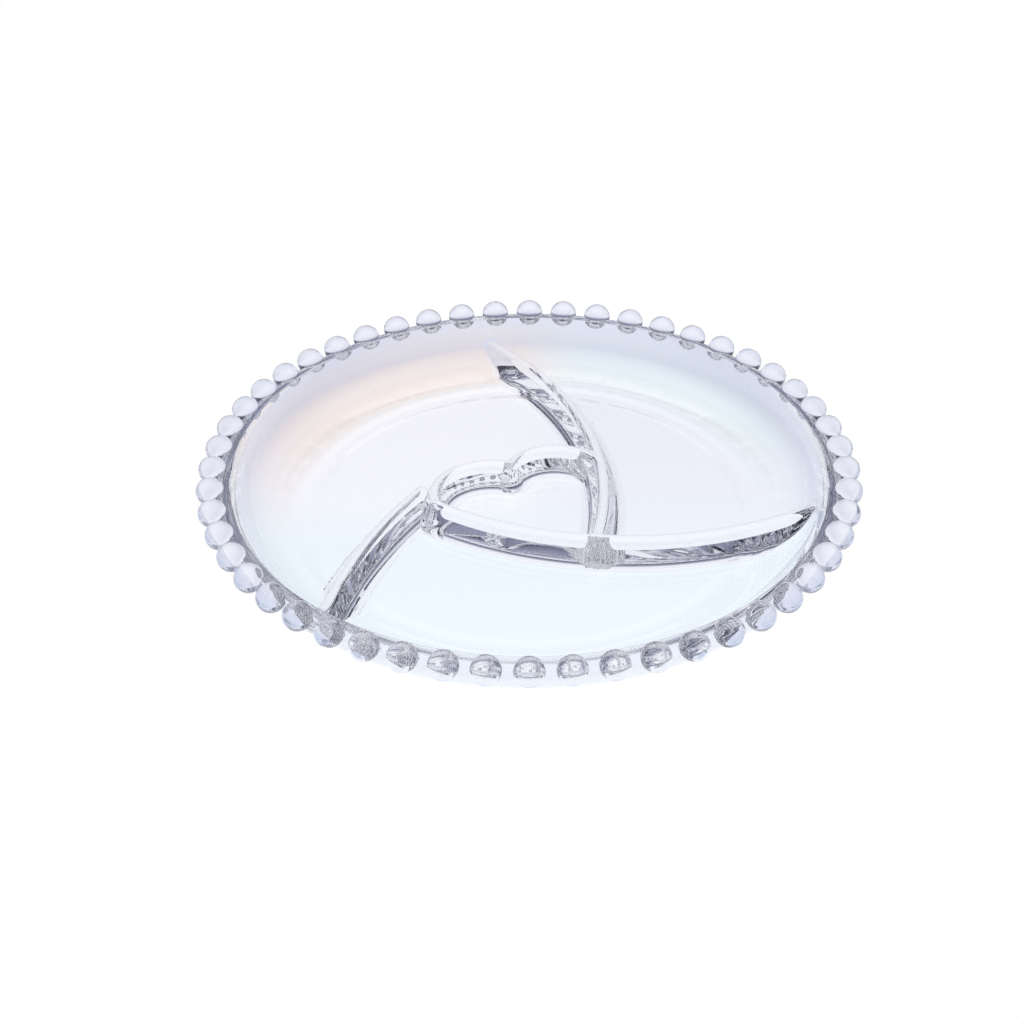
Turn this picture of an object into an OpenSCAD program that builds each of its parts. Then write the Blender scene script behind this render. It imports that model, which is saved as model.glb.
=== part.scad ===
// Divided chip and dip server: a round pressed glass dish with a beaded edge,
// three curved dividers and a heart-shaped dip well in the middle.
// Units are millimetres. +Z is up, the dish rests on z = 0 and is centred on the Z axis.
// The glass is shown as the regions that a mould maker would name. Each is a closed
// solid that meets its neighbours face to face.

/* [Dish] */
// Outer diameter, measured over the beads
overall_d = 300; // [250:5:380]
// Height of the rim's flat top above the table
rim_h = 26.5; // [25:0.5:34]
// Thickness of the floor
floor_t = 5; // [3:0.5:6]
// Radial distance from the edge of the flat floor to the inner edge of the lip
cove_reach = 21; // [15:1:23]
// Slope at which the side wall leaves the flat floor, in degrees
cove_start = 4; // [2:1:10]
// Radial distance from the edge of the flat underside to the rim's outer edge
shoulder_reach = 24.6; // [22:0.2:29]

/* [Foot ring] */
// Height of the ring that the dish stands on
foot_h = 0.5; // [0.3:0.1:1]
// Radial width of the flat that touches the table
foot_flat = 4; // [2:0.5:4]
// Radial width of each sloping flank of the foot ring
foot_flank = 4; // [2:0.5:4]
// Distance from the edge of the flat floor to the middle of the foot ring
foot_inset = 8; // [7:1:20]

/* [Rim] */
// Width of the rim's flat top
rim_land = 5; // [3:0.5:8]
// Height of the sloping step inside the rim
step_h = 6; // [3:0.5:8]
// Radial width of the sloping step inside the rim
step_w = 4.7; // [2:0.1:7]
// Thickness of the rim's outer edge
rim_edge_t = 3.5; // [2:0.5:5]

/* [Beads] */
// Number of beads round the edge
bead_count = 52; // [40:4:52]
// Diameter of a bead
bead_d = 13; // [9:0.5:15]
// Distance of the bead centres outside the rim's outer edge
bead_out = 2.9; // [1:0.1:4]
// Distance of the bead centres below the rim's flat top
bead_drop = 1.5; // [0.5:0.1:3]

/* [Dividers] */
// Height of the right divider above the floor
divider_h = 12.3; // [9:0.1:13.3]
// Radius of the dividers' rounded top
divider_top_r = 3.2; // [2:0.1:4]
// Slope of the dividers' sides, in degrees from upright
divider_draft = 20; // [8:1:26]
// Reach and height of the fillet at the dividers' foot
divider_fillet = 3.6; // [2:0.2:5]
// How much lower a divider stands than the one it runs into
joint_step = 0.3; // [0.2:0.1:1]
// Where the left divider meets the rim, in degrees from +X
left_rim_angle = -130; // [-140:1:-122]
// Where the right divider meets the rim, in degrees from +X
right_rim_angle = -5; // [-12:1:4]
// Where the back divider meets the rim, in degrees from +X
back_rim_angle = 100.5; // [92:0.5:106]
// Bend radius of the left divider
left_bend_r = 240; // [200:10:400]
// Bend radius of the right divider, which is also the front of the heart
right_bend_r = 154; // [140:2:180]
// Bend radius of the back divider, which is also the right side of the heart
back_bend_r = 185; // [170:5:230]

/* [Heart well] */
// Left corner of the heart along X, where the right divider begins
corner_x = -42; // [-45:0.5:-39]
// Left corner of the heart along Y
corner_y = -15; // [-17:0.5:-13]
// Length of the heart's front side, from its corner to its tip
heart_front = 77; // [72:1:82]
// Start of the left divider along X, beside the heart's corner
left_start_x = -49; // [-51:0.5:-48]
// Start of the left divider along Y
left_start_y = -3; // [-5:0.5:0]
// Cleft of the heart along X, where its two lobes meet
cleft_x = -9; // [-11:0.5:-7]
// Cleft of the heart along Y
cleft_y = 18; // [16:0.5:20]
// Bend radius of the heart's left lobe
left_lobe_r = 26; // [25:0.5:32]
// Length of the heart's right side, from its tip to where the right lobe joins
heart_side = 60; // [56:1:64]
// Bend radius of the heart's right lobe
right_lobe_r = 22.5; // [22:0.5:26]

/* [Hidden] */
$fn = 96;

// Heights
floor_z = foot_h + floor_t;
lip_z = rim_h - step_h;
bead_z = rim_h - bead_drop;
// The rim band begins level with the underside of the beads
seam_z = bead_z - bead_d / 2;

// Radii about the dish's axis, worked inwards from the beads
bead_ring_r = overall_d / 2 - bead_d / 2;
rim_r = bead_ring_r - bead_out;
land_r = rim_r - rim_land;
lip_r = land_r - step_w;
floor_r = lip_r - cove_reach;
base_r = rim_r - shoulder_reach;
foot_r = floor_r - foot_inset;

// The cove is an arc that leaves the floor at a slight slope and ends at the lip
cove_h = lip_z - floor_z;
cove_across = cove_h * cos(cove_start) - cove_reach * sin(cove_start);
cove_bend_r = (pow(cove_reach, 2) + pow(cove_h, 2)) / (2 * cove_across);
// The shoulder is an arc that leaves the underside level and ends at the rim's edge
shoulder_h = rim_h - rim_edge_t - foot_h;
shoulder_bend_r = (pow(shoulder_reach, 2) + pow(shoulder_h, 2)) / (2 * shoulder_h);

// Room that the trimming tools take beyond the glass
trim = 10;
// How finely the divider walls are drawn: the length of a step along a wall, the steps
// over half of its rounded top, and the sides of its posts and of the trimming tool
wall_step = 7;
cap_steps = 4;
post_fn = 32;
trim_fn = 180;

// Names with a leading zero, such as bead_07
function bead_name(i) = str("bead_", i < 10 ? "0" : "", i);
BEADS = [for (i = [1 : bead_count]) bead_name(i)];

// ---- Turned sections ----

// The dish's hollow beside the flat floor: inside the cove, up to the lip
module cove_hollow() {
    intersection() {
        translate([floor_r - cove_bend_r * sin(cove_start), floor_z + cove_bend_r * cos(cove_start)])
            circle(cove_bend_r);
        translate([floor_r - trim, floor_z - trim]) square([cove_reach + trim, cove_h + trim]);
    }
}

// The dish's outline beyond the flat underside, up to the rim's outer edge
module shoulder_fill() {
    intersection() {
        translate([base_r, foot_h + shoulder_bend_r]) circle(shoulder_bend_r);
        translate([base_r, foot_h]) square([shoulder_reach, shoulder_h]);
    }
}

module base_section() {
    half = foot_flat / 2;
    translate([0, foot_h]) square([floor_r, floor_t]);
    polygon([[foot_r - half, 0], [foot_r + half, 0], [foot_r + half + foot_flank, foot_h],
             [foot_r + half, foot_h + floor_t / 2], [foot_r - half, foot_h + floor_t / 2],
             [foot_r - half - foot_flank, foot_h]]);
}

// The curved side wall, from the edge of the floor up to the rim band
module cove_section() {
    difference() {
        intersection() {
            union() {
                translate([floor_r, foot_h]) square([base_r - floor_r, rim_h]);
                shoulder_fill();
            }
            translate([floor_r, foot_h]) square([rim_r - floor_r, seam_z - foot_h]);
        }
        cove_hollow();
    }
}

// The rim band, with the sloping step above the lip
module rim_section() {
    difference() {
        union() {
            shoulder_fill();
            translate([base_r, foot_h + shoulder_h]) square([shoulder_reach, rim_edge_t]);
        }
        translate([0, -trim]) square([rim_r + trim, trim + seam_z]);
        cove_hollow();
        polygon([[0, lip_z], [lip_r, lip_z], [land_r, rim_h], [land_r, rim_h + trim], [0, rim_h + trim]]);
    }
}

// ---- Divider walls ----

function polar(r, a) = r * [cos(a), sin(a)];
function heading(v) = atan2(v.y, v.x);

// Centre of the arc of radius r that runs from p to q and bends to the left
function bend_centre(p, q, r) =
    let (d = q - p, half = norm(d) / 2, left = [-d.y, d.x] / norm(d))
    (p + q) / 2 + left * sqrt(r * r - half * half);

// Half a wall's width at a height y above its foot, on the sloping side
function side_x(y, h) =
    divider_top_r / cos(divider_draft) + (h - divider_top_r - y) * tan(divider_draft);

// The fillet's curve, from the floor (t = 0) up to the sloping side (t = 1)
function fillet_point(t, h) =
    pow(1 - t, 2) * [side_x(0, h) + divider_fillet, 0]
    + 2 * t * (1 - t) * [side_x(0, h), 0]
    + t * t * [side_x(divider_fillet, h), divider_fillet];

// A wall's outline in level bands, each of which turns into a convex post
function wall_bands(h) = [
    [fillet_point(0, h), fillet_point(0.35, h)],
    [fillet_point(0.35, h), fillet_point(0.7, h)],
    concat([fillet_point(0.7, h), fillet_point(1, h)],
           [for (a = [divider_draft : (90 - divider_draft) / cap_steps : 89])
               [divider_top_r * cos(a), h - divider_top_r + divider_top_r * sin(a)]],
           [[0, h]])];

module band_post(at, outline) {
    translate([at.x, at.y, floor_z])
        rotate_extrude($fn = post_fn)
            polygon(concat([[0, outline[0].y]], outline, [[0, outline[len(outline) - 1].y]]));
}

// A wall with round ends along an arc, from the heading of p round to that of q
module arc_wall(centre, r, p, q, h) {
    a0 = heading(p - centre);
    turn = heading(q - centre) - a0;
    sweep = turn < 0 ? turn + 360 : turn;
    steps = ceil(sweep * PI / 180 * r / wall_step);
    for (outline = wall_bands(h))
        for (i = [0 : steps - 1])
            hull() {
                band_post(centre + polar(r, a0 + sweep * i / steps), outline);
                band_post(centre + polar(r, a0 + sweep * (i + 1) / steps), outline);
            }
}

// Everything outside the dish's hollow, to trim the dividers back to the side wall
module outside_hollow() {
    rotate_extrude($fn = trim_fn)
        difference() {
            translate([floor_r - trim, floor_z - trim])
                square([cove_reach + rim_land + step_w + 2 * trim, trim + cove_h + step_h]);
            cove_hollow();
            translate([floor_r - 2 * trim, floor_z - 2 * trim]) square([2 * trim, 2 * trim + cove_h]);
            polygon([[0, lip_z], [lip_r, lip_z], [land_r, rim_h], [0, rim_h]]);
        }
}

// Heights of the walls above the floor. Each stands lower than the one it runs into.
back_h = divider_h - joint_step;
left_h = divider_h - joint_step;
left_lobe_h = back_h - joint_step;
right_lobe_h = left_lobe_h - joint_step;

// The dividers run on into the rim, so that trimming leaves no gap at their ends
function rim_end(a) = polar(land_r, a);

// The least room an arc has beyond the half circle that just spans its ends
least_bend = 1.02;

// The radius asked for, or a little more than the least that spans the ends
function spanning_r(p, q, r) = max(r, least_bend * norm(q - p) / 2);

// How far round an arc of radius r a length along it goes, in degrees
function arc_angle(along, r) = along / r * 180 / PI;

// The points that the walls run between, and the centres they bend round
corner = [corner_x, corner_y];
cleft = [cleft_x, cleft_y];
left_start = [left_start_x, left_start_y];
right_end = rim_end(right_rim_angle);
right_r = spanning_r(corner, right_end, right_bend_r);
right_centre = bend_centre(corner, right_end, right_r);
tip = right_centre + polar(right_r, heading(corner - right_centre) + arc_angle(heart_front, right_r));
back_end = rim_end(back_rim_angle);
back_r = spanning_r(tip, back_end, back_bend_r);
back_centre = bend_centre(tip, back_end, back_r);
left_end = rim_end(left_rim_angle);
left_r = spanning_r(left_start, left_end, left_bend_r);
left_centre = bend_centre(left_start, left_end, left_r);
shoulder = back_centre + polar(back_r, heading(tip - back_centre) + arc_angle(heart_side, back_r));
left_curve_r = spanning_r(cleft, corner, left_lobe_r);
left_lobe_centre = bend_centre(cleft, corner, left_curve_r);
right_curve_r = spanning_r(shoulder, cleft, right_lobe_r);
right_lobe_centre = bend_centre(shoulder, cleft, right_curve_r);

module right_wall() {
    arc_wall(right_centre, right_r, corner, right_end, divider_h);
}

module back_wall() {
    arc_wall(back_centre, back_r, tip, back_end, back_h);
}

module left_wall() {
    arc_wall(left_centre, left_r, left_start, left_end, left_h);
}

module left_lobe_wall() {
    arc_wall(left_lobe_centre, left_curve_r, cleft, corner, left_lobe_h);
}

module right_lobe_wall() {
    arc_wall(right_lobe_centre, right_curve_r, shoulder, cleft, right_lobe_h);
}

// ---- Nodes ----

module dish_base() {
    color([0.95, 0.97, 1, 0.35])
        rotate_extrude() base_section();
}

module cove_wall() {
    color([0.92, 0.95, 1, 0.35])
        rotate_extrude() cove_section();
}

module rim_band() {
    color([0.9, 0.93, 1, 0.35])
        rotate_extrude() rim_section();
}

module divider_right() {
    color([0.9, 0.92, 0.98, 0.35])
        difference() {
            right_wall();
            outside_hollow();
        }
}

module divider_back() {
    color([0.9, 0.92, 0.98, 0.35])
        difference() {
            back_wall();
            right_wall();
            outside_hollow();
        }
}

module heart_left_lobe() {
    color([0.94, 0.95, 1, 0.35])
        difference() {
            left_lobe_wall();
            right_wall();
        }
}

module heart_right_lobe() {
    color([0.94, 0.95, 1, 0.35])
        difference() {
            right_lobe_wall();
            left_lobe_wall();
            back_wall();
        }
}

module divider_left() {
    color([0.9, 0.92, 0.98, 0.35])
        difference() {
            left_wall();
            right_wall();
            left_lobe_wall();
            outside_hollow();
        }
}

module bead(i) {
    color([0.96, 0.97, 1, 0.35])
        difference() {
            rotate([0, 0, (i - 1) * 360 / bead_count])
                translate([bead_ring_r, 0, bead_z]) sphere(d = bead_d);
            rim_band();
        }
}

dish_base();
cove_wall();
rim_band();
divider_left();
divider_right();
divider_back();
heart_left_lobe();
heart_right_lobe();
for (i = [1 : bead_count]) bead(i);
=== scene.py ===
"""Divided chip and dip server in clear pressed glass: finishes, moulded regions, camera and light.

The dish is one piece of glass. Each region of the moulding is its own closed mesh, and where two
regions meet they share a seam that light passes straight through, so that together they bend light
as one solid does. All lengths are in metres.
"""
import logging
import math
from collections.abc import Callable
from dataclasses import dataclass, field
from enum import Enum

import bpy
import numpy as np
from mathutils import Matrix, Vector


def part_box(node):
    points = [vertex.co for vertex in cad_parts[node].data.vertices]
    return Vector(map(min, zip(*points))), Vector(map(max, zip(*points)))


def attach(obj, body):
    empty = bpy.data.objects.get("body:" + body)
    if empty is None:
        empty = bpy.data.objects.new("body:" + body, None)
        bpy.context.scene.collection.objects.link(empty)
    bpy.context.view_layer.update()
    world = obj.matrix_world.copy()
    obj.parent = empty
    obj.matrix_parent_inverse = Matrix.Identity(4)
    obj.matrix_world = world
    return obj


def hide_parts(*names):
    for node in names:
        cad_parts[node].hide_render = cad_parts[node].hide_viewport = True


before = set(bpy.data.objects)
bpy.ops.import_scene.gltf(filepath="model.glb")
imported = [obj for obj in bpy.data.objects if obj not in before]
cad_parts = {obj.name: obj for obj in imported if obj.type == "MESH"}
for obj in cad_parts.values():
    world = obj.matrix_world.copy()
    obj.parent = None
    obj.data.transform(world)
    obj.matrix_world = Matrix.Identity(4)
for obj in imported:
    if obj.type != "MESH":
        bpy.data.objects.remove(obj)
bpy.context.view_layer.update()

LOG = logging.getLogger("chip_and_dip_server")
MM = 0.001
TURN = 2.0 * math.pi
Point = tuple[float, float]
Place = tuple[float, float, float]
Colour = tuple[float, float, float]
Stops = tuple[tuple[float, Colour], ...]
WHITE = (1.0, 1.0, 1.0)
# A turn short of a full one by less than this, in radians, still closes
SMALL_TURN = 1e-6
# Keeps a fillet that has no reach from dividing by nothing
TINY = 1e-9
# Vertices nearer than this are one vertex
WELD = 0.0001 * MM
# Room allowed when a face is told by where it lies
SLACK = 0.01 * MM
# How far a face's normal leans towards the axis: level, facing that way, or edge on
FLAT = 0.999
FACES = 0.9
EDGE_ON = 0.1
# A cell of a turned sheet has at most this many sides
CELL_SIDES = 4


class Slot(Enum):
    """The record's material slots."""

    DISH = "dish_glass"
    DIVIDER = "divider_glass"
    BEAD = "bead_glass"


class Side(Enum):
    """The two kinds of surface on a moulded region."""

    GLASS = 0
    SEAM = 1


# ---- Small helpers for working in edit mode ----


def settle(piece: bpy.types.Object) -> None:
    """Makes a piece the only one selected and active.

    Args:
        piece: the object to work on.
    """
    if bpy.context.object is not None and bpy.context.object.mode != "OBJECT":
        bpy.ops.object.mode_set(mode="OBJECT")
    bpy.ops.object.select_all(action="DESELECT")
    piece.select_set(True)
    bpy.context.view_layer.objects.active = piece


def edit(piece: bpy.types.Object) -> None:
    """Opens a piece in edit mode with everything selected.

    Args:
        piece: the object to work on.
    """
    settle(piece)
    bpy.ops.object.mode_set(mode="EDIT")
    bpy.ops.mesh.select_mode(type="VERT")
    bpy.ops.mesh.select_all(action="SELECT")


def close_edit() -> None:
    """Leaves edit mode."""
    bpy.ops.object.mode_set(mode="OBJECT")


def corners(mesh: bpy.types.Mesh) -> np.ndarray:
    """Gives a mesh's vertex positions.

    Args:
        mesh: the mesh to read.

    Returns:
        An array of one row of x, y, z for each vertex.
    """
    out = np.empty(len(mesh.vertices) * 3)
    mesh.vertices.foreach_get("co", out)
    return out.reshape(-1, 3)


def face_middles(mesh: bpy.types.Mesh) -> np.ndarray:
    """Gives the middle of each face.

    Args:
        mesh: the mesh to read.

    Returns:
        An array of one row of x, y, z for each face.
    """
    out = np.empty(len(mesh.polygons) * 3)
    mesh.polygons.foreach_get("center", out)
    return out.reshape(-1, 3)


def face_normals(mesh: bpy.types.Mesh) -> np.ndarray:
    """Gives the normal of each face.

    Args:
        mesh: the mesh to read.

    Returns:
        An array of one row of x, y, z for each face.
    """
    out = np.empty(len(mesh.polygons) * 3)
    mesh.polygons.foreach_get("normal", out)
    return out.reshape(-1, 3)


def face_values(mesh: bpy.types.Mesh, key: str) -> np.ndarray:
    """Gives a whole-number value of each face.

    Args:
        mesh: the mesh to read.
        key: loop_start, loop_total or material_index.

    Returns:
        One number for each face.
    """
    out = np.empty(len(mesh.polygons), dtype=np.int64)
    mesh.polygons.foreach_get(key, out)
    return out


def loop_corners(mesh: bpy.types.Mesh) -> np.ndarray:
    """Gives the vertex at each corner of each face.

    Args:
        mesh: the mesh to read.

    Returns:
        One vertex number for each corner.
    """
    out = np.empty(len(mesh.loops), dtype=np.int64)
    mesh.loops.foreach_get("vertex_index", out)
    return out


def select_faces(piece: bpy.types.Object, chosen: np.ndarray) -> None:
    """Selects some of a piece's faces and leaves it in edit mode.

    Args:
        piece: the object to work on.
        chosen: True for each face to select.
    """
    edit(piece)
    bpy.ops.mesh.select_mode(type="FACE")
    bpy.ops.mesh.select_all(action="DESELECT")
    close_edit()
    piece.data.polygons.foreach_set("select", chosen.astype(bool))
    bpy.ops.object.mode_set(mode="EDIT")


def mend(piece: bpy.types.Object, gap: float = 10 * WELD) -> None:
    """Merges doubled vertices and turns every face outwards.

    Args:
        piece: the object to mend.
        gap: vertices nearer than this become one.
    """
    edit(piece)
    bpy.ops.mesh.remove_doubles(threshold=gap)
    bpy.ops.mesh.select_all(action="SELECT")
    bpy.ops.mesh.normals_make_consistent(inside=False)
    close_edit()


def settle_nothing() -> None:
    """Deselects everything before a primitive is added."""
    if bpy.context.object is not None and bpy.context.object.mode != "OBJECT":
        bpy.ops.object.mode_set(mode="OBJECT")
    bpy.ops.object.select_all(action="DESELECT")


def lathe(
    name: str, outline: list[Point], steps: int, start: float = 0.0, turn: float = TURN
) -> bpy.types.Object:
    """Rolls a grid round the dish's axis so that its section follows an outline.

    Args:
        name: the new object's name.
        outline: radius and height of each point.
        steps: how many flats go round the turn.
        start: heading of the first edge, in radians.
        turn: how far round to go, in radians.

    Returns:
        The turned object.
    """
    settle_nothing()
    rows = len(outline) - 1
    bpy.ops.mesh.primitive_grid_add(x_subdivisions=steps, y_subdivisions=rows, size=1.0)
    piece = bpy.context.object
    piece.name = name
    piece.data.name = name
    spot = corners(piece.data)
    column = np.rint((spot[:, 0] + 0.5) * steps)
    row = np.rint((spot[:, 1] + 0.5) * rows).astype(int)
    profile = np.array(outline)[row]
    heading = start + turn * np.where((turn > TURN - SMALL_TURN) & (column == steps), 0, column) / steps
    spot[:, 0] = profile[:, 0] * np.cos(heading)
    spot[:, 1] = profile[:, 0] * np.sin(heading)
    spot[:, 2] = profile[:, 1]
    piece.data.vertices.foreach_set("co", spot.ravel())
    piece.data.update()
    mend(piece, WELD)
    return piece


def cut(piece: bpy.types.Object, tool: bpy.types.Object, operation: str) -> None:
    """Applies an exact boolean to a piece, whose new faces keep the tool's finish.

    Args:
        piece: the object that changes.
        tool: the other solid, which stays as it is.
        operation: DIFFERENCE, INTERSECT or UNION.
    """
    settle(piece)
    change = piece.modifiers.new("Cut", "BOOLEAN")
    change.operation = operation
    change.solver = "EXACT"
    change.object = tool
    change.material_mode = "TRANSFER"
    bpy.ops.object.modifier_apply(modifier=change.name)


def twin(piece: bpy.types.Object, name: str) -> bpy.types.Object:
    """Copies a piece with a mesh of its own.

    Args:
        piece: the object to copy.
        name: the copy's name.

    Returns:
        The copy.
    """
    copy = piece.copy()
    copy.data = piece.data.copy()
    copy.name = name
    copy.data.name = name
    bpy.context.scene.collection.objects.link(copy)
    return copy


def drop(piece: bpy.types.Object) -> None:
    """Removes a working object."""
    bpy.data.objects.remove(piece, do_unlink=True)


def round_corner(before: Point, corner: Point, after: Point, radius: float, steps: int = 5) -> list[Point]:
    """Rounds one corner of an outline.

    Args:
        before: the point ahead of the corner.
        corner: the sharp corner.
        after: the point past the corner.
        radius: the rounding's radius.
        steps: flats in the rounding.

    Returns:
        The points that replace the corner.
    """
    a = np.array(before) - corner
    b = np.array(after) - corner
    a /= np.linalg.norm(a)
    b /= np.linalg.norm(b)
    half = math.acos(float(np.clip(a @ b, -1, 1))) / 2
    reach = radius / math.tan(half)
    middle = np.array(corner) + (a + b) / np.linalg.norm(a + b) * radius / math.sin(half)
    first = np.array(corner) + a * reach - middle
    last = np.array(corner) + b * reach - middle
    sweep = math.acos(float(np.clip(first @ last / radius**2, -1, 1)))
    out = []
    for i in range(steps + 1):
        t = i / steps
        p = middle + (first * math.sin((1 - t) * sweep) + last * math.sin(t * sweep)) / math.sin(sweep)
        out.append((float(p[0]), float(p[1])))
    return out


# ---- Finishes ----


class RippleGroup:
    """A shared node group: the slow waviness that fire-polishing leaves on pressed glass."""

    NAME = "Fire-polished ripple"

    @classmethod
    def get(cls) -> bpy.types.NodeTree:
        """Builds the group once.

        Returns:
            The node group, with inputs Size and Offset and the output Height.
        """
        if cls.NAME in bpy.data.node_groups:
            return bpy.data.node_groups[cls.NAME]
        tree = bpy.data.node_groups.new(cls.NAME, "ShaderNodeTree")
        size = tree.interface.new_socket("Size", in_out="INPUT", socket_type="NodeSocketFloat")
        size.default_value = 60.0
        tree.interface.new_socket("Offset", in_out="INPUT", socket_type="NodeSocketVector")
        tree.interface.new_socket("Height", in_out="OUTPUT", socket_type="NodeSocketFloat")
        enter = tree.nodes.new("NodeGroupInput")
        leave = tree.nodes.new("NodeGroupOutput")
        place = tree.nodes.new("ShaderNodeTexCoord")
        shift = tree.nodes.new("ShaderNodeVectorMath")
        noise = tree.nodes.new("ShaderNodeTexNoise")
        noise.inputs["Detail"].default_value = 1.0
        noise.inputs["Roughness"].default_value = 0.4
        tree.links.new(place.outputs["Object"], shift.inputs[0])
        tree.links.new(enter.outputs["Offset"], shift.inputs[1])
        tree.links.new(shift.outputs[0], noise.inputs["Vector"])
        tree.links.new(enter.outputs["Size"], noise.inputs["Scale"])
        tree.links.new(noise.outputs["Fac"], leave.inputs["Height"])
        return tree


class PaintedReflectionShadeGroup:
    """A shared node group: the faint colours across the dish from side to side, painted reflection and
    shade over the glass's faint tint.
    """

    NAME = "Faint lustre"
    # Painted reflection and shade in the glass's colour: pale blue at the front, lighter left and darker
    # right at the back, a darker grey-lilac painted shade on the rim band, and a peach to sea-green painted
    # reflection round the back of the cove.
    FRONT = (0.86, 0.935, 1.0)
    LEFT = (0.94, 0.945, 0.985)
    RIGHT = (0.87, 0.895, 0.98)
    PEACH_REFLECTION = (0.88, 0.80, 0.77)
    SEA_REFLECTION = (0.80, 0.87, 0.90)
    BLUSH = (0.90, 0.88, 0.92)
    RIM_SHADE = (0.80, 0.815, 0.90)

    @classmethod
    def get(cls) -> bpy.types.NodeTree:
        """Builds the group once.

        Returns:
            The node group, with the output Tint.
        """
        if cls.NAME in bpy.data.node_groups:
            return bpy.data.node_groups[cls.NAME]
        tree = bpy.data.node_groups.new(cls.NAME, "ShaderNodeTree")
        tree.interface.new_socket("Tint", in_out="OUTPUT", socket_type="NodeSocketColor")
        leave = tree.nodes.new("NodeGroupOutput")
        place = tree.nodes.new("ShaderNodeTexCoord")
        parts = tree.nodes.new("ShaderNodeSeparateXYZ")
        tree.links.new(place.outputs["Object"], parts.inputs[0])
        away = tree.nodes.new("ShaderNodeVectorMath")
        away.operation = "LENGTH"
        tree.links.new(place.outputs["Object"], away.inputs[0])
        x, y, r = parts.outputs["X"], parts.outputs["Y"], away.outputs["Value"]
        right = cls.slope(tree, x, -0.015, 0.03)
        back = cls.slope(tree, y, -0.035, 0.015)
        cove = cls.slope(tree, r, 0.102, 0.116)
        far = cls.slope(tree, y, 0.0, 0.07)
        sides = cls.mix(tree, right, cls.LEFT, cls.RIGHT)
        flat = cls.mix(tree, back, cls.FRONT, sides)
        edge = cls.mix(tree, right, cls.BLUSH, cls.RIGHT)
        # Painted reflection: peach on the left to sea-green on the right, round the back of the cove.
        glow = cls.mix(tree, right, cls.PEACH_REFLECTION, cls.SEA_REFLECTION)
        band = cls.mix(tree, far, edge, glow)
        bowl = cls.mix(tree, cove, flat, cls.mix(tree, back, cls.FRONT, band))
        # Painted shade: the rim band turns a darker grey-lilac.
        rim = cls.slope(tree, r, 0.133, 0.138)
        tint = cls.mix(tree, rim, bowl, cls.RIM_SHADE)
        tree.links.new(tint, leave.inputs["Tint"])
        return tree

    @staticmethod
    def slope(
        tree: bpy.types.NodeTree, source: bpy.types.NodeSocket, low: float, high: float
    ) -> bpy.types.NodeSocket:
        """Adds a smooth step from 0 to 1.

        Args:
            tree: the group to add it to.
            source: the value it follows.
            low: the value at which it leaves 0.
            high: the value at which it reaches 1.

        Returns:
            The step's output.
        """
        step = tree.nodes.new("ShaderNodeMapRange")
        step.interpolation_type = "SMOOTHSTEP"
        step.inputs["From Min"].default_value = low
        step.inputs["From Max"].default_value = high
        tree.links.new(source, step.inputs["Value"])
        return step.outputs["Result"]

    @staticmethod
    def mix(
        tree: bpy.types.NodeTree, amount: bpy.types.NodeSocket, first: object, second: object
    ) -> bpy.types.NodeSocket:
        """Mixes two colours, each a constant or a socket.

        Args:
            tree: the group to add it to.
            amount: how much of the second colour.
            first: the first colour.
            second: the second colour.

        Returns:
            The mixed colour's socket.
        """
        made = tree.nodes.new("ShaderNodeMix")
        made.data_type = "RGBA"
        tree.links.new(amount, made.inputs["Factor"])
        sockets = [k for k in made.inputs if k.type == "RGBA"]
        for socket, colour in zip(sockets, (first, second)):
            if isinstance(colour, tuple):
                socket.default_value = (*colour, 1.0)
            else:
                tree.links.new(colour, socket)
        return next(k for k in made.outputs if k.type == "RGBA")


@dataclass(frozen=True)
class ClearGlass:
    """Clear pressed glass with a fire-polished ripple and a tint. The tint is a trace of colour by default
    and painted shade in the divider and bead glass; painted reflection and shade from a shared group can
    take its place.
    """

    name: str
    tint: Colour = (0.985, 0.988, 1.0)
    roughness: float = 0.0
    ior: float = 1.52
    ripple_size: float = 55.0
    ripple_depth: float = 0.03 * MM
    offset: Place = (0.0, 0.0, 0.0)
    # Paints reflection and shade into the base colour with the shared group.
    painted_reflection_shade: bool = False

    def material(self) -> bpy.types.Material:
        """Builds the glass.

        Returns:
            The material.
        """
        made = bpy.data.materials.new(self.name)
        made.use_nodes = True
        tree = made.node_tree
        shader = tree.nodes["Principled BSDF"]
        shader.inputs["Base Color"].default_value = (*self.tint, 1.0)
        shader.inputs["Roughness"].default_value = self.roughness
        shader.inputs["IOR"].default_value = self.ior
        shader.inputs["Transmission Weight"].default_value = 1.0
        ripple = tree.nodes.new("ShaderNodeGroup")
        ripple.node_tree = RippleGroup.get()
        ripple.inputs["Size"].default_value = self.ripple_size
        ripple.inputs["Offset"].default_value = self.offset
        bump = tree.nodes.new("ShaderNodeBump")
        bump.inputs["Strength"].default_value = 1.0
        bump.inputs["Distance"].default_value = self.ripple_depth
        # The shared group's painted reflection and shade become the base colour.
        if self.painted_reflection_shade:
            painted_reflection_shade = tree.nodes.new("ShaderNodeGroup")
            painted_reflection_shade.node_tree = PaintedReflectionShadeGroup.get()
            tree.links.new(painted_reflection_shade.outputs["Tint"], shader.inputs["Base Color"])
        tree.links.new(ripple.outputs["Height"], bump.inputs["Height"])
        tree.links.new(bump.outputs["Normal"], shader.inputs["Normal"])
        made.diffuse_color = (*self.tint, 0.35)
        return made


@dataclass(frozen=True)
class Seam:
    """The unseen boundary between two regions of one piece of glass."""

    name: str = "glass_seam"

    def material(self) -> bpy.types.Material:
        """Builds a surface that light passes straight through.

        Returns:
            The material.
        """
        if self.name in bpy.data.materials:
            return bpy.data.materials[self.name]
        made = bpy.data.materials.new(self.name)
        made.use_nodes = True
        shader = made.node_tree.nodes["Principled BSDF"]
        shader.inputs["Alpha"].default_value = 0.0
        shader.inputs["Specular IOR Level"].default_value = 0.0
        return made


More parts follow.
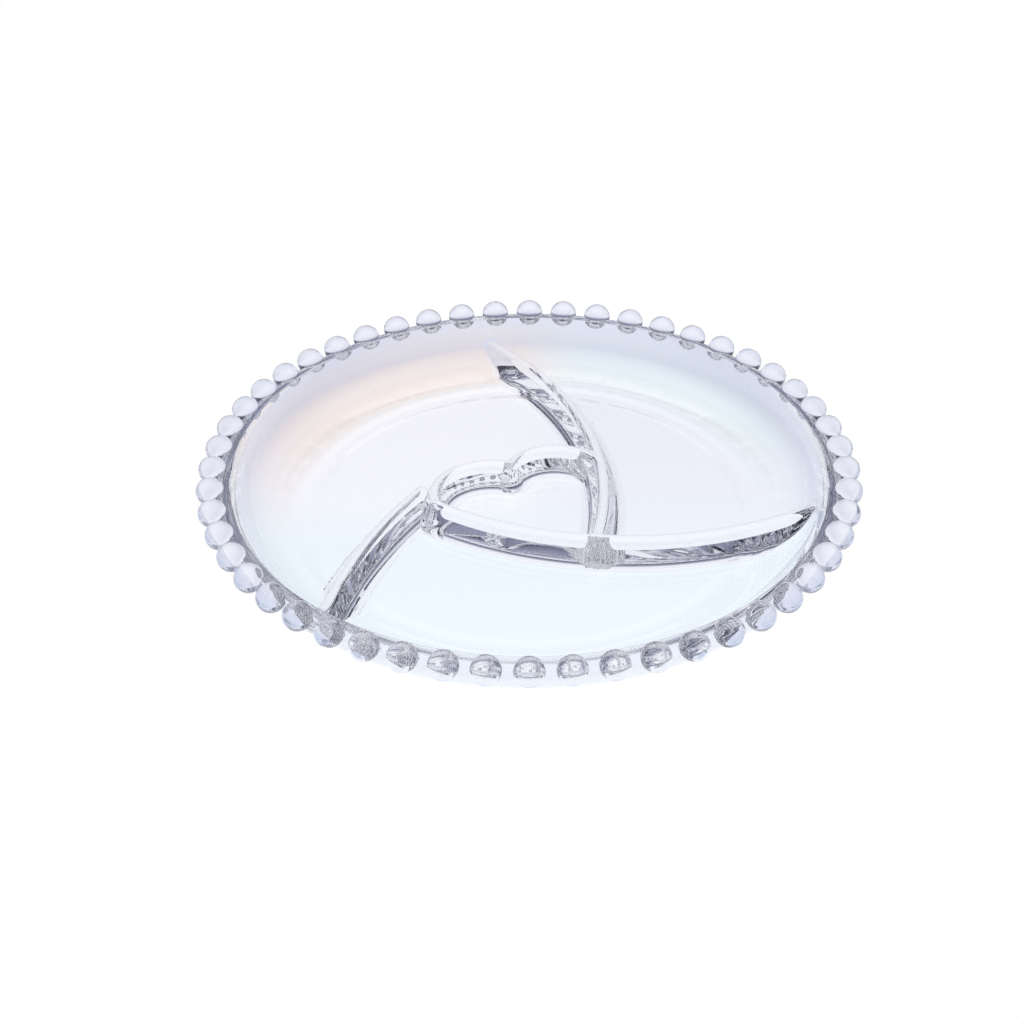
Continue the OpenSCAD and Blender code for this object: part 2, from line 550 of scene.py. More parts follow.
def dress(piece: bpy.types.Object, glass: bpy.types.Material, seams: np.ndarray) -> None:
    """Gives a piece its glass, and marks which faces are seams.

    Args:
        piece: the object to dress.
        glass: the clear glass.
        seams: True for each face that is a seam.
    """
    piece.data.materials.clear()
    piece.data.materials.append(glass)
    piece.data.materials.append(Seam().material())
    piece.data.polygons.foreach_set("material_index", np.where(seams, Side.SEAM.value, Side.GLASS.value))
    piece.data.update()


def polish(piece: bpy.types.Object, angle: float = 35.0) -> None:
    """Shades a piece smooth, apart from edges sharper than an angle in degrees."""
    settle(piece)
    bpy.ops.object.shade_smooth_by_angle(angle=math.radians(angle))


def hand_in(piece: bpy.types.Object, slot: Slot, *nodes: str) -> None:
    """Puts a finished piece under the root body and hides the CAD nodes it stands for.

    Args:
        piece: the finished object.
        slot: not used.
        nodes: the CAD nodes it stands for.
    """
    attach(piece, "root")
    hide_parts(*nodes)
    LOG.info("%s: %d faces for %s", piece.name, len(piece.data.polygons), ", ".join(nodes))


# ---- The dish's section ----


@dataclass(frozen=True)
class Section:
    """The turned section of the dish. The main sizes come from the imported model."""

    floor_r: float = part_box("dish_base")[1][0]
    floor_z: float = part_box("dish_base")[1][2]
    seam_z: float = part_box("cove_wall")[1][2]
    under_z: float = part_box("cove_wall")[0][2]
    rim_r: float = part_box("rim_band")[1][0]
    rim_z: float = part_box("rim_band")[1][2]
    rim_edge: float = 3.5 * MM
    land: float = 5.0 * MM
    step_h: float = 6.0 * MM
    step_w: float = 4.7 * MM
    shoulder_reach: float = 24.6 * MM
    foot_r: float = 101.9 * MM
    foot_half: float = 2.0 * MM
    foot_flank: float = 4.0 * MM
    cove_start: float = math.radians(4.0)
    flats: int = 1040
    ring_gap: float = 0.6 * MM
    hub_r: float = 8.0 * MM
    halvings: int = 40

    @property
    def lip(self) -> Point:
        """The lip's radius and height."""
        return (self.rim_r - self.land - self.step_w, self.rim_z - self.step_h)

    def floor_rings(self) -> list[float]:
        """Gives the radii of the floor's rings.

        Returns:
            Radii from the hub out to the floor's edge.
        """
        count = math.ceil((self.floor_r - self.hub_r) / self.ring_gap)
        return [self.hub_r + (self.floor_r - self.hub_r) * i / count for i in range(count + 1)]

    def cove_point(self, t: float) -> Point:
        """Gives a point of the cove.

        Args:
            t: 0 at the floor's edge, 1 at the lip.

        Returns:
            Radius and height.
        """
        reach = self.lip[0] - self.floor_r
        rise = self.lip[1] - self.floor_z
        a = self.cove_start
        across = rise * math.cos(a) - reach * math.sin(a)
        bend = (reach**2 + rise**2) / (2 * across)
        middle = (self.floor_r - bend * math.sin(a), self.floor_z + bend * math.cos(a))
        end = math.atan2(self.lip[0] - middle[0], middle[1] - self.lip[1])
        turn = a + (end - a) * t
        return (middle[0] + bend * math.sin(turn), middle[1] - bend * math.cos(turn))

    def seam_share(self, point: Callable[[float], Point]) -> float:
        """Finds where a rising line reaches the height at which the rim band begins.

        Args:
            point: gives the line's point at each share of its length.

        Returns:
            The share of the line's length.
        """
        low, high = 0.0, 1.0
        for _ in range(self.halvings):
            t = (low + high) / 2
            if point(t)[1] < self.seam_z:
                low = t
            else:
                high = t
        return low

    def cove_split(self) -> float:
        """Gives how far up the cove the rim band begins, as cove_point's t."""
        return self.seam_share(self.cove_point)

    def cove_rings(self, steps: int = 44) -> list[Point]:
        """Gives the cove from the floor's edge to the rim band.

        Args:
            steps: rings up the cove.

        Returns:
            Radius and height of each ring.
        """
        split = self.cove_split()
        return [self.cove_point(split * i / steps) for i in range(steps + 1)]

    def shoulder_point(self, t: float) -> Point:
        """Gives a point of the outer shoulder.

        Args:
            t: 0 at the flat underside, 1 at the rim's edge.

        Returns:
            Radius and height.
        """
        rise = self.rim_z - self.rim_edge - self.under_z
        bend = (self.shoulder_reach**2 + rise**2) / (2 * rise)
        end = math.atan2(self.shoulder_reach, bend - rise)
        turn = end * t
        start = self.rim_r - self.shoulder_reach
        return (start + bend * math.sin(turn), self.under_z + bend * (1 - math.cos(turn)))

    def shoulder_split(self) -> float:
        """Gives how far up the shoulder the rim band begins, as shoulder_point's t."""
        return self.seam_share(self.shoulder_point)

    def surface(self, r: np.ndarray) -> np.ndarray:
        """Gives the height of the floor and cove at some radii.

        Args:
            r: radii.

        Returns:
            Heights.
        """
        ring = np.array([(0.0, self.floor_z), *self.cove_rings(400)])
        return np.interp(r, ring[:, 0], ring[:, 1])


# ---- Walls ----


@dataclass(frozen=True)
class Arc:
    """The middle line of a wall: an arc that bends to the left from its start."""

    centre: Point
    radius: float
    start: float
    sweep: float

    @classmethod
    def between(cls, first: Point, last: Point, radius: float) -> "Arc":
        """Draws the arc from one point to another.

        Args:
            first: where it starts.
            last: where it ends.
            radius: its radius.

        Returns:
            The arc.
        """
        p, q = np.array(first), np.array(last)
        gap = float(np.linalg.norm(q - p))
        left = np.array([p[1] - q[1], q[0] - p[0]]) / gap
        middle = (p + q) / 2 + left * math.sqrt(radius**2 - gap**2 / 4)
        start = math.atan2(p[1] - middle[1], p[0] - middle[0])
        end = math.atan2(q[1] - middle[1], q[0] - middle[0])
        return cls((float(middle[0]), float(middle[1])), radius, start, (end - start) % TURN)

    def at(self, length: float) -> Point:
        """Gives the point at a length along the arc."""
        a = self.start + length / self.radius
        return (self.centre[0] + self.radius * math.cos(a), self.centre[1] + self.radius * math.sin(a))

    def aside(self, x: np.ndarray, y: np.ndarray) -> np.ndarray:
        """Measures how far points lie from the arc.

        Args:
            x: the points' x.
            y: the points' y.

        Returns:
            Distances.
        """
        dx, dy = x - self.centre[0], y - self.centre[1]
        along = (np.arctan2(dy, dx) - self.start) % TURN
        beside = np.abs(np.hypot(dx, dy) - self.radius)
        first, last = self.at(0.0), self.at(self.radius * self.sweep)
        ends = np.minimum(np.hypot(x - first[0], y - first[1]), np.hypot(x - last[0], y - last[1]))
        return np.where(along <= self.sweep, beside, ends)


@dataclass(frozen=True)
class WallShape:
    """A wall's cross-section: a rounded top, drafted sides and a fillet at the foot."""

    height: float = 12.3 * MM
    top_r: float = 3.2 * MM
    draft: float = math.radians(20.0)
    fillet: float = 3.6 * MM

    def side(self, y: float) -> float:
        """Gives half the width on the drafted side at a height."""
        return self.top_r / math.cos(self.draft) + (self.height - self.top_r - y) * math.tan(self.draft)

    def rise(self, s: np.ndarray) -> np.ndarray:
        """Gives the wall's height above the floor at a distance from its middle line.

        Args:
            s: distances from the middle line.

        Returns:
            Heights above the floor.
        """
        foot = self.side(0.0) + self.fillet
        knee = self.side(self.fillet)
        brow = self.top_r * math.cos(self.draft)
        cap = self.height - self.top_r + np.sqrt(np.maximum(self.top_r**2 - s**2, 0.0))
        slope = (self.side(0.0) - s) / math.tan(self.draft)
        a = foot - 2 * self.side(0.0) + knee
        b = 2 * self.fillet
        t = (b - np.sqrt(np.maximum(b**2 - 4 * a * (foot - s), 0.0))) / (2 * a)
        flare = self.fillet * np.clip(t, 0.0, 1.0) ** 2
        return np.where(s <= brow, cap, np.where(s <= knee, slope, np.where(s < foot, flare, 0.0)))


@dataclass(frozen=True)
class Wall:
    """One wall: its name, its middle line and its cross-section."""

    name: str
    line: Arc
    shape: WallShape

    def rise(self, x: np.ndarray, y: np.ndarray) -> np.ndarray:
        """Gives the wall's height above the floor at each point."""
        return self.shape.rise(self.line.aside(x, y))


def blend(a: np.ndarray, b: np.ndarray, soft: float) -> np.ndarray:
    """Joins two heights as melted glass does, with a small fillet where they cross.

    Args:
        a: the first heights.
        b: the second heights.
        soft: how far apart the heights may be and still blend.

    Returns:
        The joined heights.
    """
    reach = soft * np.clip(np.minimum(a, b) / (2 * soft), 0.0, 1.0) + TINY
    over = np.maximum(reach - np.abs(a - b), 0.0)
    return np.maximum(a, b) + over**2 / (4 * reach)


@dataclass
class DividerPlan:
    """The plan of the dividers and the heart well, as in the part's source."""

    section: Section
    corner: Point = (-42.0 * MM, -15.0 * MM)
    left_start: Point = (-49.0 * MM, -3.0 * MM)
    cleft: Point = (-9.0 * MM, 18.0 * MM)
    heart_front: float = 77.0 * MM
    heart_side: float = 60.0 * MM
    right_bend: float = 154.0 * MM
    back_bend: float = 185.0 * MM
    left_bend: float = 240.0 * MM
    left_lobe_bend: float = 26.0 * MM
    right_lobe_bend: float = 22.5 * MM
    left_heading: float = -130.0
    right_heading: float = -5.0
    back_heading: float = 100.5
    joint_step: float = 0.3 * MM
    melt: float = 1.6 * MM
    cove_melt: float = 2.4 * MM
    least_rise: float = 0.01 * MM
    walls: list[Wall] = field(default_factory=list)

    def __post_init__(self) -> None:
        """Draws the five walls."""
        right = Arc.between(self.corner, self.rim_end(self.right_heading), self.right_bend)
        tip = right.at(self.heart_front)
        back = Arc.between(tip, self.rim_end(self.back_heading), self.back_bend)
        left = Arc.between(self.left_start, self.rim_end(self.left_heading), self.left_bend)
        left_lobe = Arc.between(self.cleft, self.corner, self.left_lobe_bend)
        right_lobe = Arc.between(back.at(self.heart_side), self.cleft, self.right_lobe_bend)
        top = WallShape().height
        self.walls = [
            Wall("divider_right", right, WallShape(top)),
            Wall("divider_back", back, WallShape(top - self.joint_step)),
            Wall("divider_left", left, WallShape(top - self.joint_step)),
            Wall("heart_left_lobe", left_lobe, WallShape(top - 2 * self.joint_step)),
            Wall("heart_right_lobe", right_lobe, WallShape(top - 3 * self.joint_step)),
        ]

    def rim_end(self, heading: float) -> Point:
        """Gives the point inside the rim where a divider ends."""
        r = self.section.rim_r - self.section.land
        return (r * math.cos(math.radians(heading)), r * math.sin(math.radians(heading)))

    def top(self, x: np.ndarray, y: np.ndarray, least: float) -> np.ndarray:
        """Gives the height of the moulded surface: floor, cove and walls.

        Args:
            x: the points' x.
            y: the points' y.
            least: a wall that stands less proud than this is left out.

        Returns:
            Heights above the table.
        """
        total = np.zeros_like(x)
        for wall in self.walls:
            total = blend(total, wall.rise(x, y), self.melt)
        ground = self.section.surface(np.hypot(x, y)) - self.section.floor_z
        total = blend(ground, total, self.cove_melt)
        total = np.where(total - ground < least, ground, total)
        return total + self.section.floor_z

    def owner(self, x: np.ndarray, y: np.ndarray) -> np.ndarray:
        """Tells which wall is the tallest at each point.

        Args:
            x: the points' x.
            y: the points' y.

        Returns:
            The wall's place in the list, whether or not it stands proud there.
        """
        return np.argmax(np.stack([w.rise(x, y) for w in self.walls]), axis=0)

    def footing(self, mesh: bpy.types.Mesh) -> np.ndarray:
        """Finds which wall stands on each face of a floor or cove mesh.

        Args:
            mesh: a mesh whose upper faces follow the shared rings.

        Returns:
            The wall's place in the list for each face, or -1 where none stands.
        """
        spot = corners(mesh)
        ground = self.section.surface(np.hypot(spot[:, 0], spot[:, 1]))
        proud = self.top(spot[:, 0], spot[:, 1], self.least_rise) - ground
        raised = proud > self.least_rise / 2
        stands = np.logical_or.reduceat(raised[loop_corners(mesh)], face_values(mesh, "loop_start"))
        middle = face_middles(mesh)
        who = self.owner(middle[:, 0], middle[:, 1])
        return np.where(stands, who, -1)


@dataclass
class Dividers:
    """The three dividers and the two lobes of the heart well."""

    section: Section
    plan: DividerPlan
    glass: ClearGlass
    lift: float = 20.0 * MM
    slope_step: float = 0.02 * MM
    crease: float = 50.0

    def sheet(self) -> bpy.types.Object:
        """Turns the upper surface of the floor and cove, on which the walls stand.

        Returns:
            The open sheet.
        """
        rings = [(r, self.section.floor_z) for r in self.section.floor_rings()]
        rings += self.section.cove_rings()[1:]
        return lathe("sheet", rings, self.section.flats)

    def build(self) -> list[bpy.types.Object]:
        """Raises each wall from its footing on the sheet.

        Returns:
            The five finished pieces.
        """
        sheet = self.sheet()
        made = []
        material = self.glass.material()
        for place, wall in enumerate(self.plan.walls):
            select_faces(sheet, self.plan.footing(sheet.data) == place)
            bpy.ops.mesh.separate(type="SELECTED")
            close_edit()
            piece = next(o for o in bpy.context.selected_objects if o is not sheet)
            piece.name = wall.name + "_glass"
            piece.data.name = piece.name
            self.raise_wall(piece, material)
            hand_in(piece, Slot.DIVIDER, wall.name)
            made.append(piece)
        drop(sheet)
        return made

    def raise_wall(self, piece: bpy.types.Object, material: bpy.types.Material) -> None:
        """Extrudes a footing and moulds its top to the wall's shape.

        Args:
            piece: the footing, cut from the sheet.
            material: the divider glass.
        """
        edit(piece)
        bpy.ops.mesh.select_mode(type="FACE")
        bpy.ops.mesh.select_all(action="SELECT")
        bpy.ops.mesh.extrude_region_move(TRANSFORM_OT_translate={"value": (0, 0, self.lift)})
        close_edit()
        spot = corners(piece.data)
        ground = self.section.surface(np.hypot(spot[:, 0], spot[:, 1]))
        upper = spot[:, 2] > ground + self.lift / 2
        spot[upper, 2] = self.plan.top(spot[upper, 0], spot[upper, 1], self.plan.least_rise)
        piece.data.vertices.foreach_set("co", spot.ravel())
        piece.data.update()
        on_top = upper[loop_corners(piece.data)]
        moulded = np.logical_and.reduceat(on_top, face_values(piece.data, "loop_start"))
        dress(piece, material, ~moulded)
        mend(piece, WELD)
        polish(piece, self.crease)
        self.smooth_flow(piece)

    def smooth_flow(self, piece: bpy.types.Object) -> None:
        """Gives the moulded top the exact slope of its surface at every corner.

        Args:
            piece: the finished wall.
        """
        mesh = piece.data
        spot = corners(mesh)
        x, y = spot[:, 0], spot[:, 1]
        step = self.slope_step
        lean_x = (self.plan.top(x + step, y, 0.0) - self.plan.top(x - step, y, 0.0)) / (2 * step)
        lean_y = (self.plan.top(x, y + step, 0.0) - self.plan.top(x, y - step, 0.0)) / (2 * step)
        normal = np.stack([-lean_x, -lean_y, np.ones_like(x)], axis=1)
        normal /= np.linalg.norm(normal, axis=1, keepdims=True)
        side = np.repeat(face_values(mesh, "material_index"), face_values(mesh, "loop_total"))
        chosen = normal[loop_corners(mesh)]
        chosen[side == Side.SEAM.value] = 0.0
        mesh.normals_split_custom_set(chosen.tolist())


# ---- The turned regions ----


@dataclass
class DishBase:
    """The flat floor, with the foot ring under it."""

    section: Section
    plan: DividerPlan
    glass: ClearGlass
    soft: float = 0.4 * MM

    def build(self) -> bpy.types.Object:
        """Turns the base and marks where the walls stand.

        Returns:
            The finished piece.
        """
        s = self.section
        top = [(0.0, s.floor_z)] + [(r, s.floor_z) for r in s.floor_rings()]
        outline = top + [(s.floor_r, s.under_z)] + self.foot_outline() + [(0.0, s.under_z)]
        piece = lathe("dish_base_glass", outline, s.flats)
        middle = face_middles(piece.data)
        facing = face_normals(piece.data)
        upward = (facing[:, 2] > FACES) & (middle[:, 2] > s.under_z + 1 * MM)
        footed = upward & (self.plan.footing(piece.data) >= 0)
        side = (np.hypot(middle[:, 0], middle[:, 1]) > s.floor_r - SLACK) & (np.abs(facing[:, 2]) < EDGE_ON)
        dress(piece, self.glass.material(), footed | side)
        self.simplify(piece)
        polish(piece)
        hand_in(piece, Slot.DISH, "dish_base")
        return piece


    def foot_outline(self) -> list[Point]:
        """Draws the foot ring with its soft shoulders, from the outside in.

        Returns:
            Radius and height of each point.
        """
        s = self.section
        reach = s.foot_half + s.foot_flank
        half = [
            (reach + self.soft, 1.0), (reach, 0.97), (reach - self.soft, 0.90),
            (s.foot_half + self.soft, 0.10), (s.foot_half, 0.03), (s.foot_half - self.soft, 0.0),
        ]
        outer = [(s.foot_r + t, s.under_z * z) for t, z in half]
        inner = [(s.foot_r - t, s.under_z * z) for t, z in reversed(half)]
        return outer + inner

    def simplify(self, piece: bpy.types.Object) -> None:
        """Joins the flat cells of each footing, then those of each open stretch of floor.

        Args:
            piece: the dressed base.
        """
        for place in [*range(len(self.plan.walls)), -1]:
            middle = face_middles(piece.data)
            facing = face_normals(piece.data)
            flat = (facing[:, 2] > FLAT) & (middle[:, 2] > self.section.floor_z - SLACK)
            small = face_values(piece.data, "loop_total") <= CELL_SIDES
            who = self.plan.footing(piece.data)
            select_faces(piece, flat & small & (who == place))
            bpy.ops.mesh.dissolve_faces(use_verts=False)
            close_edit()


@dataclass
class CoveWall:
    """The curved side wall between the floor and the rim band."""

    section: Section
    plan: DividerPlan
    glass: ClearGlass
    shoulder_steps: int = 30
    skin: float = 0.2 * MM

    def build(self) -> bpy.types.Object:
        """Turns the side wall and marks where the dividers run into it.

        Returns:
            The finished piece.
        """
        s = self.section
        inside = s.cove_rings()
        split = s.shoulder_split()
        steps = self.shoulder_steps
        outside = [s.shoulder_point(split * (1 - i / steps)) for i in range(steps + 1)]
        outline = inside + outside + [(s.floor_r, s.under_z), inside[0]]
        piece = lathe("cove_wall_glass", outline, s.flats)
        middle = face_middles(piece.data)
        facing = face_normals(piece.data)
        r = np.hypot(middle[:, 0], middle[:, 1])
        upper = np.abs(middle[:, 2] - s.surface(r)) < self.skin
        footed = upper & (self.plan.footing(piece.data) >= 0) & (r > s.floor_r)
        inner = (r < s.floor_r + SLACK) & (np.abs(facing[:, 2]) < EDGE_ON)
        crown = (middle[:, 2] > s.seam_z - SLACK) & (facing[:, 2] > FACES)
        dress(piece, self.glass.material(), footed | inner | crown)
        polish(piece)
        hand_in(piece, Slot.DISH, "cove_wall")
        return piece


@dataclass
class BeadedRim:
    """The rim band and the beads that stand out of its edge."""

    section: Section
    glass: ClearGlass
    bead_glass: ClearGlass
    beads: int = 52
    bead_r: float = 6.5 * MM
    flats: int = 20
    soft_edge: float = 0.9 * MM
    lip_round: float = 1.2 * MM
    low_edge: float = 0.3 * MM
    cove_steps: int = 6
    shoulder_steps: int = 8
    bead_segments: int = 56
    bead_rings: int = 36
    crease: float = 40.0
    # A face whose middle is this near the sector's end, in radians, closes the sector
    end_angle: float = 1e-4
    # A face of the cap between a bead's two parts lies inside this share of the radius
    cap_share: float = 0.985
    # A face of the bead's seat lies inside this share of the radius
    seat_share: float = 1.001

    @property
    def pitch(self) -> float:
        """The angle from one bead to the next."""
        return TURN / self.beads

    def bead_at(self) -> Point:
        """Gives the bead centres' radius and height, from the first bead's box."""
        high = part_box("bead_01")[1]
        return (high[0] - self.bead_r, high[2] - self.bead_r)

    def outline(self) -> list[Point]:
        """Draws the rim band's closed section.

        Returns:
            Radius and height of each point.
        """
        s = self.section
        cove = s.cove_split()
        inner = [s.cove_point(cove + (1 - cove) * i / self.cove_steps) for i in range(self.cove_steps)]
        land_in = (s.rim_r - s.land, s.rim_z)
        land_out = (s.rim_r, s.rim_z)
        edge_low = (s.rim_r, s.rim_z - s.rim_edge)
        split = s.shoulder_split()
        steps = self.shoulder_steps
        outer = [s.shoulder_point(1 - (1 - split) * i / steps) for i in range(1, steps + 1)]
        points = inner
        points += round_corner(inner[-1], s.lip, land_in, self.lip_round)
        points += round_corner(s.lip, land_in, land_out, self.soft_edge)
        points += round_corner(land_in, land_out, edge_low, self.soft_edge)
        points += round_corner(land_out, edge_low, outer[0], self.low_edge, 3)
        return points + outer + [inner[0]]

    def sector(self) -> bpy.types.Object:
        """Turns the piece of rim that carries one bead, closed at both ends.

        Returns:
            The sector.
        """
        piece = lathe("rim_sector", self.outline(), self.flats, -self.pitch / 2, self.pitch)
        edit(piece)
        bpy.ops.mesh.fill_holes(sides=0)
        bpy.ops.mesh.select_all(action="SELECT")
        bpy.ops.mesh.normals_make_consistent(inside=False)
        close_edit()
        return piece

    def ball(self) -> bpy.types.Object:
        """Makes one whole bead in place.

        Returns:
            The bead.
        """
        r, z = self.bead_at()
        settle_nothing()
        bpy.ops.mesh.primitive_uv_sphere_add(
            segments=self.bead_segments, ring_count=self.bead_rings, radius=self.bead_r, location=(r, 0, z)
        )
        piece = bpy.context.object
        settle(piece)
        bpy.ops.object.transform_apply(location=True, rotation=True, scale=True)
        return piece

    def build(self) -> list[bpy.types.Object]:
        """Fuses a bead with its sector, then repeats both round the dish.

        Returns:
            The rim band and the beads.
        """
        rim_glass = self.glass.material()
        bead_glass = self.bead_glass.material()
        seam = Seam().material()
        sector = self.sector()
        sector.data.materials.append(rim_glass)
        ball = self.ball()
        ball.data.materials.append(seam)
        solid = twin(sector, "solid_sector")
        cut(sector, ball, "DIFFERENCE")
        out = twin(ball, "bead_out")
        cut(out, solid, "DIFFERENCE")
        inside = twin(ball, "bead_in")
        cut(inside, solid, "INTERSECT")
        bead = self.join_bead(out, inside, bead_glass)
        rim = self.repeat_rim(sector, rim_glass)
        made = [rim] + self.repeat_beads(bead)
        for spare in (ball, solid, bead):
            drop(spare)
        return made

    def join_bead(
        self, out: bpy.types.Object, inside: bpy.types.Object, glass: bpy.types.Material
    ) -> bpy.types.Object:
        """Joins the bead's outer and sunken parts, and drops the cap between them.

        Args:
            out: the part of the bead outside the rim.
            inside: the part sunk in the rim.
            glass: the bead glass.

        Returns:
            A whole bead, whose sunken part is a seam.
        """
        r, z = self.bead_at()
        for part in (out, inside):
            middle = face_middles(part.data)
            away = np.sqrt((middle[:, 0] - r) ** 2 + middle[:, 1] ** 2 + (middle[:, 2] - z) ** 2)
            select_faces(part, away < self.bead_r * self.cap_share)
            bpy.ops.mesh.delete(type="FACE")
            close_edit()
        dress(out, glass, np.zeros(len(out.data.polygons), dtype=bool))
        dress(inside, glass, np.ones(len(inside.data.polygons), dtype=bool))
        settle(out)
        inside.select_set(True)
        bpy.ops.object.join()
        mend(out)
        polish(out, self.crease)
        return out

    def repeat_rim(self, sector: bpy.types.Object, glass: bpy.types.Material) -> bpy.types.Object:
        """Opens the sector's ends and repeats it round the dish as one band.

        Args:
            sector: the sector with its bead seat.
            glass: the rim glass.

        Returns:
            The rim band.
        """
        middle = face_middles(sector.data)
        heading = np.abs(np.arctan2(middle[:, 1], middle[:, 0]))
        select_faces(sector, heading > self.pitch / 2 - self.end_angle)
        bpy.ops.mesh.delete(type="FACE")
        bpy.ops.mesh.select_all(action="SELECT")
        turn = TURN - self.pitch
        bpy.ops.mesh.spin(steps=self.beads - 1, dupli=True, angle=turn, center=(0, 0, 0), axis=(0, 0, 1))
        close_edit()
        mend(sector, 20 * WELD)
        sector.name = "rim_band_glass"
        sector.data.name = sector.name
        r, z = self.bead_at()
        middle = face_middles(sector.data)
        turned = (np.arctan2(middle[:, 1], middle[:, 0]) + self.pitch / 2) % self.pitch - self.pitch / 2
        flat = np.hypot(middle[:, 0], middle[:, 1])
        x, y = flat * np.cos(turned) - r, flat * np.sin(turned)
        away = np.sqrt(x**2 + y**2 + (middle[:, 2] - z) ** 2)
        facing = face_normals(sector.data)
        floor = (middle[:, 2] < self.section.seam_z + SLACK) & (facing[:, 2] < -FACES)
        dress(sector, glass, (away < self.bead_r * self.seat_share) | floor)
        polish(sector, self.crease)
        hand_in(sector, Slot.DISH, "rim_band")
        return sector

    def repeat_beads(self, bead: bpy.types.Object) -> list[bpy.types.Object]:
        """Copies the bead to every place round the rim.

        Args:
            bead: the finished bead at heading 0.

        Returns:
            The beads.
        """
        made = []
        shape = corners(bead.data)
        for i in range(self.beads):
            copy = twin(bead, f"bead_{i + 1:02d}_glass")
            a = i * self.pitch
            spot = shape.copy()
            spot[:, 0] = shape[:, 0] * math.cos(a) - shape[:, 1] * math.sin(a)
            spot[:, 1] = shape[:, 0] * math.sin(a) + shape[:, 1] * math.cos(a)
            copy.data.vertices.foreach_set("co", spot.ravel())
            copy.data.update()
            hand_in(copy, Slot.BEAD, f"bead_{i + 1:02d}")
            made.append(copy)
        return made


# ---- Studio ----


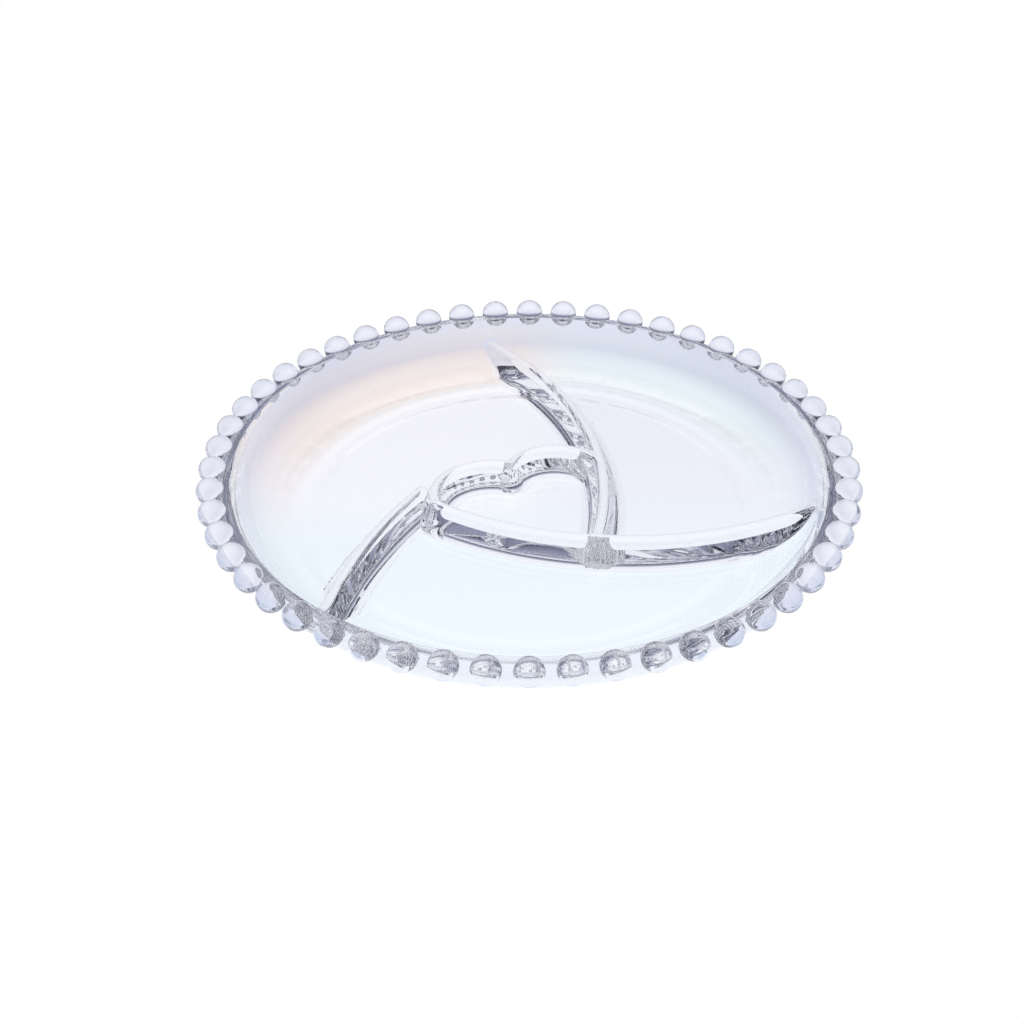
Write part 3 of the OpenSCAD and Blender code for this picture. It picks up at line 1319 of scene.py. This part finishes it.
@dataclass
class Studio:
    """The pale floor, the soft light and the camera."""

    eye: Place = (0.0, -0.7772, 0.5474)
    aim: Place = (0.0, -0.0332, 0.025)
    # Seen only through the glass: white under the dish, a painted contact shadow as a grey ring under the
    # rim and beads from 0.122 to 0.168, then falling to near black past 0.186.
    floor_stops: Stops = (
        (0.0, (1.0, 1.0, 1.0)),
        (0.122, (1.0, 1.0, 1.0)),
        (0.138, (0.90, 0.905, 0.95)),
        (0.152, (0.80, 0.81, 0.88)),
        (0.168, (0.92, 0.93, 0.97)),
        (0.186, (0.85, 0.86, 0.92)),
        (0.198, (0.30, 0.31, 0.40)),
        (0.22, (0.03, 0.032, 0.06)),
    )
    sky_stops: Stops = (
        (0.0, (0.015, 0.016, 0.03)),
        (0.30, (0.05, 0.053, 0.085)),
        (0.60, (0.30, 0.31, 0.40)),
        (0.80, (1.0, 1.0, 1.0)),
    )
    floor_glow: float = 1.08
    floor_gap: float = 0.05 * MM
    lens: float = 72.6
    shift: float = -0.0169
    floor_size: float = 8.0
    sky_strength: float = 1.1
    bounces: int = 40
    seam_crossings: int = 128

    def floor(self) -> None:
        """Lays a glowing white floor, which the glass sees darken a little way from the dish, with a
        painted contact shadow ring under the rim and beads.
        """
        settle_nothing()
        bpy.ops.mesh.primitive_plane_add(size=self.floor_size, location=(0.0, 0.0, -self.floor_gap))
        ground = bpy.context.object
        ground.name = "studio_floor"
        paint = bpy.data.materials.new("studio_white")
        paint.use_nodes = True
        paint.cycles.emission_sampling = "NONE"
        tree = paint.node_tree
        tree.nodes.remove(tree.nodes["Principled BSDF"])
        leave = tree.nodes["Material Output"]
        place = tree.nodes.new("ShaderNodeTexCoord")
        away = tree.nodes.new("ShaderNodeVectorMath")
        away.operation = "LENGTH"
        ramp = tree.nodes.new("ShaderNodeValToRGB")
        glow = tree.nodes.new("ShaderNodeEmission")
        plain = tree.nodes.new("ShaderNodeEmission")
        path = tree.nodes.new("ShaderNodeLightPath")
        mix = tree.nodes.new("ShaderNodeMixShader")
        tree.links.new(place.outputs["Object"], away.inputs[0])
        tree.links.new(away.outputs["Value"], ramp.inputs["Fac"])
        tree.links.new(ramp.outputs["Color"], glow.inputs["Color"])
        tree.links.new(path.outputs["Is Camera Ray"], mix.inputs["Fac"])
        tree.links.new(glow.outputs[0], mix.inputs[1])
        tree.links.new(plain.outputs[0], mix.inputs[2])
        tree.links.new(mix.outputs[0], leave.inputs["Surface"])
        plain.inputs["Color"].default_value = (*WHITE, 1.0)
        glow.inputs["Strength"].default_value = self.floor_glow
        self.grade(ramp, self.floor_stops)
        ground.data.materials.append(paint)

    @staticmethod
    def grade(ramp: bpy.types.ShaderNodeValToRGB, stops: Stops) -> None:
        """Sets a ramp's stops.

        Args:
            ramp: the ramp to set.
            stops: each stop's position and colour, in order.
        """
        elements = ramp.color_ramp.elements
        while len(elements) < len(stops):
            elements.new(1.0)
        for element, (position, shade) in zip(elements, stops):
            element.position = position
            element.color = (*shade, 1.0)

    def sky(self) -> None:
        """Surrounds the dish with a white tent, which the glass sees darken towards the horizon."""
        world = bpy.data.worlds.new("white_tent")
        bpy.context.scene.world = world
        world.use_nodes = True
        tree = world.node_tree
        back = tree.nodes["Background"]
        place = tree.nodes.new("ShaderNodeTexCoord")
        split = tree.nodes.new("ShaderNodeSeparateXYZ")
        ramp = tree.nodes.new("ShaderNodeValToRGB")
        tree.links.new(place.outputs["Generated"], split.inputs[0])
        tree.links.new(split.outputs["Z"], ramp.inputs["Fac"])
        self.grade(ramp, self.sky_stops)
        tree.links.new(ramp.outputs["Color"], back.inputs["Color"])
        back.inputs["Strength"].default_value = self.sky_strength
        plain = tree.nodes.new("ShaderNodeBackground")
        plain.inputs["Color"].default_value = (*WHITE, 1.0)
        path = tree.nodes.new("ShaderNodeLightPath")
        mix = tree.nodes.new("ShaderNodeMixShader")
        tree.links.new(path.outputs["Is Camera Ray"], mix.inputs["Fac"])
        tree.links.new(back.outputs[0], mix.inputs[1])
        tree.links.new(plain.outputs[0], mix.inputs[2])
        tree.links.new(mix.outputs[0], tree.nodes["World Output"].inputs["Surface"])

    def camera(self) -> None:
        """Places the camera."""
        data = bpy.data.cameras.new("camera")
        data.lens = self.lens
        data.shift_x = self.shift
        data.clip_end = 50.0
        eye = bpy.data.objects.new("camera", data)
        bpy.context.scene.collection.objects.link(eye)
        eye.location = self.eye
        across = [a - e for a, e in zip(self.aim, self.eye)]
        pitch = math.atan2(-across[2], math.hypot(across[0], across[1]))
        eye.rotation_euler = (math.pi / 2 - pitch, 0.0, -math.atan2(across[0], across[1]))
        bpy.context.scene.camera = eye

    def build(self) -> None:
        """Sets up the whole studio."""
        self.floor()
        self.sky()
        self.camera()
        scene = bpy.context.scene
        scene.view_settings.view_transform = "Standard"
        scene.cycles.max_bounces = self.bounces
        scene.cycles.transmission_bounces = self.bounces
        scene.cycles.glossy_bounces = self.bounces
        scene.cycles.transparent_max_bounces = self.seam_crossings


def main() -> None:
    """Builds the server, then the studio."""
    logging.basicConfig(level=logging.INFO, format="%(message)s")
    section = Section()
    plan = DividerPlan(section)
    # The dish glass takes painted reflection and shade in its colour.
    dish_glass = ClearGlass("dish_glass", painted_reflection_shade=True)
    # Painted shade: the divider glass is a darker grey-lilac than the dish, though dish and dividers are
    # one glass.
    divider_glass = ClearGlass(
        "divider_glass",
        tint=(0.80, 0.81, 0.885),
        roughness=0.04,
        ripple_depth=0.01 * MM,
        offset=(0.3, 0.1, 0.2),
    )
    # Painted shade: the bead glass is a darker lilac than the dish, for the beads' shading.
    bead_glass = ClearGlass("bead_glass", tint=(0.88, 0.89, 0.95), ripple_depth=0.0)
    DishBase(section, plan, dish_glass).build()
    CoveWall(section, plan, dish_glass).build()
    Dividers(section, plan, divider_glass).build()
    BeadedRim(section, dish_glass, bead_glass).build()
    Studio().build()


if __name__ == "__main__":
    main()
